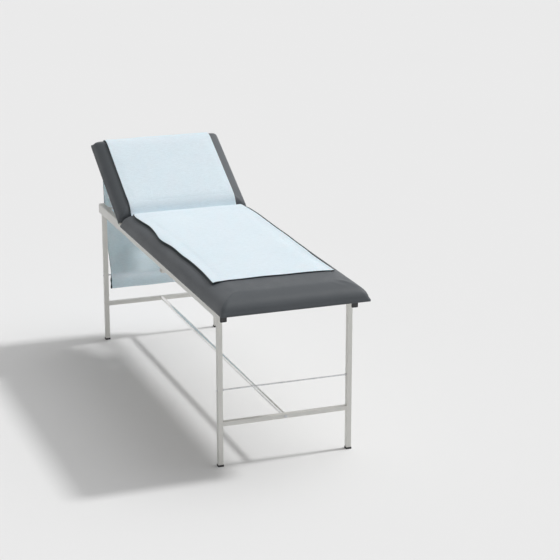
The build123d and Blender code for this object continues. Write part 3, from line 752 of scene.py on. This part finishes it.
def drape_shadow_cord(points):
    """Near-black cord under the sheet's long edges and its front edge: painted shadow of the gap under the lifted
    edge.
    """
    rows, columns = points.shape[:2]
    along = np.gradient(points, axis=0)
    over = np.gradient(points, axis=1)
    up = np.cross(over, along)
    up /= np.linalg.norm(up, axis=2, keepdims=True)
    up *= np.sign(up[:, :, 2:3] + 1e-9)
    path, ups, sizes = [], [], []

    def lay(j, i, outward, proud=0.0):
        """Put the cord under point (j, i); proud is how far it shows past the cloth, 0 to 1."""
        on_seat = float(fading(points[j, i][1], SHADOW_CORD_FADE))
        sunk = SHADOW_CORD_SUNK + (SEAT_SUNK - PROUD_RISE * proud) * on_seat
        out = SHADOW_CORD_OUT + (SEAT_OUT + PROUD_OUT * proud) * on_seat
        path.append(points[j, i] - up[j, i] * sunk + np.array(outward) * out)
        ups.append(up[j, i])
        sizes.append(SHADOW_CORD_RADIUS + (SEAT_SWELL + PROUD_SWELL * proud) * on_seat)

    for j in range(rows - 3, 0, -1):
        lay(j, 0, (-1, 0, 0))
    for i in range(columns):
        lay(0, i, (0, -1, 0))
    for j in range(1, rows - 2):
        lay(j, -1, (1, 0, 0), proud=min(1.0, j / PROUD_ROWS))
    sizes = np.array(sizes)
    shadow_cord = tube("drape_sheet_shadow_cord", path, sizes * SHADOW_CORD_FLATNESS, sizes, ups)
    smooth_shaded(shadow_cord, SHADOW_CORD)
    return shadow_cord


# Hanging part of the sheet

TAIL_ROWS = 100
TAIL_COLUMNS = 72
TAIL_HALF = 0.2605
TAIL_TAPER = 0.004              # narrower by this on each side at the bottom
TAIL_ASIDE = -0.002
TAIL_BEHIND = 0.0004
TAIL_BOTTOM_Z = 0.262
TAIL_WAVER = 0.0015             # how much its lower edge wavers up and down
TAIL_EDGE = ((0.25, 0.0845), (0.30, 0.0835), (0.325, 0.0825), (0.345, 0.0812), (0.38, 0.070),
             (0.445, 0.046), (0.53, 0.020), (0.64, 0.002), (0.72, 0.0), (1.0, 0.0))
TAIL_MIDDLE = ((0.25, 0.0845), (0.30, 0.0835), (0.325, 0.0825), (0.345, 0.0812), (0.375, 0.064),
               (0.41, 0.038), (0.445, 0.020), (0.53, 0.006), (0.64, 0.0), (1.0, 0.0))
ROD_Z = 0.345                   # just above the rear tie rod, which the cloth passes in front of
BELLY_X = -0.185
BELLY_DEPTH = 0.044
BELLY_LEFT, BELLY_RIGHT = 0.052, 0.24
BELLY_BELOW, BELLY_ABOVE = 0.026, 0.090
WRAP_DROP = 0.005               # within this drop the cloth comes away from the board's edge,
WRAP_START = 0.0038             # from this far behind the seam
WRAP_CLEAR = 0.0122             # to this, so that a raised backrest doesn't cut into it,
WRAP_FREE = 0.6                 # and it is back in line at this share of its length
FOLD_DEPTH = 0.0030
SWAY_DEPTH = 0.0012
FOLD_EASE = 0.12                # share of the length over which folds and sway begin
ROD_BAND = (0.320, 0.342)
ROD_CLEAR = 0.0012
ROD_FRONT_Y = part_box("tie_rod_rear")[0].y - ROD_CLEAR
CORNER_Z = 0.335                # below this the hanging part's shadow cord is thicker, painting the shade of its curled lower corner, fully so after this much, by this
CORNER_FADE = 0.03              # fully so after this much,
LEFT_CORNER_SHADE, RIGHT_CORNER_SHADE = 0.0026, 0.0012      # by this
TAIL_SHADOW_CORD_FIRST = 4              # the row where that shadow cord starts, under the seam
EDGE_TO_MIDDLE = 0.09           # how far in from a side the sheet takes its middle's shape


def belly(x, z):
    """The cloth bellies forward over the rod: steep on its left and below, easy elsewhere."""
    across = (x - BELLY_X) / (BELLY_LEFT if x < BELLY_X else BELLY_RIGHT)
    over = (z - ROD_Z) / (BELLY_BELOW if z < ROD_Z else BELLY_ABOVE)
    return BELLY_DEPTH * math.exp(-across ** 2 - over ** 2)


def tail_sheet():
    """The free end of the sheet: plumb from the backrest's top, then forward over the rod."""
    top_z = TAIL_HIGH.z
    near = TAIL_LOW.y + TAIL_BEHIND
    points = np.zeros((TAIL_ROWS, TAIL_COLUMNS, 3))
    for j, down in enumerate(np.linspace(0, 1, TAIL_ROWS)):
        z = top_z + (TAIL_BOTTOM_Z - top_z) * down
        edge_depth, middle_depth = smooth_through(TAIL_EDGE, z), smooth_through(TAIL_MIDDLE, z)
        for i, side in enumerate(np.linspace(-1, 1, TAIL_COLUMNS)):
            x = side * (TAIL_HALF - TAIL_TAPER * down) + TAIL_ASIDE
            inner = float(np.clip((TAIL_HALF - abs(x)) / EDGE_TO_MIDDLE, 0, 1))
            depth = edge_depth + (middle_depth - edge_depth) * inner * inner * (3 - 2 * inner)
            folds = FOLD_DEPTH * (down ** 1.5) * math.sin(13.0 * x + 0.4 + 0.8 * down)
            sway = SWAY_DEPTH * down * math.sin(37.0 * x - 2.0 * down)
            ease = min(1.0, down / FOLD_EASE)
            leave = WRAP_START + (WRAP_CLEAR - WRAP_START) * min(1.0, (top_z - z) / WRAP_DROP)
            clear = leave * max(0.0, 1 - down / WRAP_FREE)
            points[j, i] = (x, near + clear - depth - belly(x, z) - ease * (folds + sway),
                            z + TAIL_WAVER * down * math.sin(9.0 * x))
    for j in range(TAIL_ROWS):
        if ROD_BAND[0] < points[j, 0, 2] < ROD_BAND[1]:
            points[j, :, 1] = np.minimum(points[j, :, 1], ROD_FRONT_Y)
    faces = grid_faces(TAIL_ROWS, TAIL_COLUMNS)
    cloth = new_object("hanging_drape", points.reshape(-1, 3), faces)
    thickened(cloth, 0.0)
    length = float(np.linalg.norm(np.diff(points, axis=0), axis=2).sum(axis=0).mean())
    return cloth, points, length


def rolled_seam():
    """A soft rolled seam on the axis where the hanging part turns at the backrest's top."""
    reach = TAIL_HALF + SEAM_PAST
    across = np.linspace(TAIL_ASIDE - reach, TAIL_ASIDE + reach, SEAM_STATIONS)
    turn = Vector(JOINTS["sheet_tail_hang"]["pos_m"])
    path = [np.array((x, turn.y + SEAM_BEHIND, turn.z + 0.0003 * math.sin(60 * x)))
            for x in across]
    sizes = [SEAM_RADIUS * (1 + 0.04 * math.sin(95 * x + 1)) for x in across]
    sizes[0] = sizes[-1] = SEAM_RADIUS * 0.6
    seam = tube("drape_seam", path, sizes, sizes, [np.array((0.0, 0.0, 1.0))] * len(path))
    smooth_shaded(seam, FINISHES["sheet_cloth"])
    return seam


def tail_shadow_cord(points, column, name, thick):
    """Near-black cord down one side of the hanging part: painted shadow along its edge, thicker at its lower
    corner as painted shade of the curled corner.
    """
    path, sizes = [], []
    for j in range(TAIL_SHADOW_CORD_FIRST, TAIL_ROWS):
        z = points[j, column][2]
        low = float(np.clip((CORNER_Z - z) / CORNER_FADE, 0, 1))
        path.append(points[j, column] + np.array((0.0, 0.0006, 0.0)))
        sizes.append(SHADOW_CORD_RADIUS + thick * low * (1.0 + 0.35 * math.sin(170.0 * z)))
    ups = [np.array((0.0, -1.0, 0.0))] * len(path)
    shadow_cord = tube(name, path, sizes, sizes, ups)
    smooth_shaded(shadow_cord, SHADOW_CORD)
    return shadow_cord


# Stage

CAMERA_PLACE = (-2.49517, -7.51183, 2.89787)
CAMERA_TILT = math.radians(16.661)
CAMERA_TURN = math.radians(-20.359)
CAMERA_LENS = 118.19
SUN_TURN = math.radians(41.0)
SUN_SIZE = math.radians(6.5)
SUN_STRENGTH = 1.66
SKY_FLOOR = 0.27                # plain surroundings
SKY_GLOSS = 0.80                # the surroundings as polished metal and vinyl reflect them
SOFTBOX = 2.05                  # broad light overhead on the key light's side
SOFTBOX_AIM = (0.47, 0.13, 0.873)
SOFTBOX_SPREAD = 8.0
FLOOR_HALF = 60.0


def place_camera(scene):
    camera = bpy.data.objects.new("camera", bpy.data.cameras.new("camera"))
    camera.location = CAMERA_PLACE
    camera.rotation_euler = (math.pi / 2 - CAMERA_TILT, 0.0, CAMERA_TURN)
    camera.data.lens = CAMERA_LENS
    camera.data.sensor_width = 36.0
    camera.data.clip_end = 300.0
    scene.collection.objects.link(camera)
    scene.camera = camera


def place_key_light(scene):
    sun = bpy.data.objects.new("key_light", bpy.data.lights.new("key_light", "SUN"))
    sun.rotation_euler = (0.0, SUN_TURN, 0.0)
    sun.data.energy = SUN_STRENGTH
    sun.data.angle = SUN_SIZE
    scene.collection.objects.link(sun)


def studio_world():
    """Even white surroundings with a broad soft light on the key light's side."""
    world = bpy.data.worlds.new("studio")
    world.use_nodes = True
    tree = world.node_tree
    background = tree.nodes["Background"]
    background.inputs["Color"].default_value = (1.0, 1.0, 1.0, 1.0)
    direction = tree.nodes.new("ShaderNodeTexCoord")
    toward = tree.nodes.new("ShaderNodeVectorMath")
    toward.operation = "DOT_PRODUCT"
    tree.links.new(direction.outputs["Generated"], toward.inputs[0])
    toward.inputs[1].default_value = SOFTBOX_AIM
    last = toward.outputs["Value"]
    for operation, value in (("MAXIMUM", 0.0), ("POWER", SOFTBOX_SPREAD), ("MULTIPLY", SOFTBOX),
                             ("ADD", SKY_FLOOR)):
        step = tree.nodes.new("ShaderNodeMath")
        step.operation = operation
        tree.links.new(last, step.inputs[0])
        step.inputs[1].default_value = value
        last = step.outputs["Value"]
    path = tree.nodes.new("ShaderNodeLightPath")
    choose = tree.nodes.new("ShaderNodeMix")
    choose.inputs["B"].default_value = SKY_GLOSS
    tree.links.new(path.outputs["Is Glossy Ray"], choose.inputs["Factor"])
    tree.links.new(last, choose.inputs["A"])
    tree.links.new(choose.outputs["Result"], background.inputs["Strength"])
    return world


def lay_floor():
    corners = [(-FLOOR_HALF, -FLOOR_HALF, 0), (FLOOR_HALF, -FLOOR_HALF, 0),
               (FLOOR_HALF, FLOOR_HALF, 0), (-FLOOR_HALF, FLOOR_HALF, 0)]
    floor = new_object("studio_floor", corners, [(0, 1, 2, 3)])
    floor.data.materials.append(floor_material())


def stage():
    scene = bpy.context.scene
    place_camera(scene)
    place_key_light(scene)
    scene.world = studio_world()
    scene.view_settings.view_transform = "Standard"
    lay_floor()


def main():
    stage()
    dress_cad_nodes()
    seat = cushion("seat_cushion", SEAT_LOW.y, SEAT_HIGH.y, seat_to_world, "frame",
                   ("seat_cover", "seat_foam"))
    back = cushion("backrest_cushion", HINGE_GAP, BACK_LENGTH, back_to_world, "backrest",
                   ("backrest_cover", "backrest_foam"))

    cloth, points, length = drape_sheet((seat, back))
    # near-black cord under the sheet's edges: painted shadow of the gap beneath them
    shadow_cord = drape_shadow_cord(points)
    for piece in (cloth, shadow_cord):
        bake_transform(piece)
    seam = rolled_seam()
    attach(seam, "backrest")
    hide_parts("seat_sheet", "backrest_sheet")

    tail, tail_points, tail_length = tail_sheet()
    # near-black cords down the hanging part's sides: painted shadow, thicker where the lower corner curls
    left_shadow_cord = tail_shadow_cord(tail_points, 0, "hanging_drape_shadow_cord_left", LEFT_CORNER_SHADE)
    right_shadow_cord = tail_shadow_cord(tail_points, -1, "hanging_drape_shadow_cord_right", RIGHT_CORNER_SHADE)
    for piece in (tail, left_shadow_cord, right_shadow_cord):
        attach(piece, "sheet_tail")
        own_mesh(piece)
    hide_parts("hanging_sheet")


main()
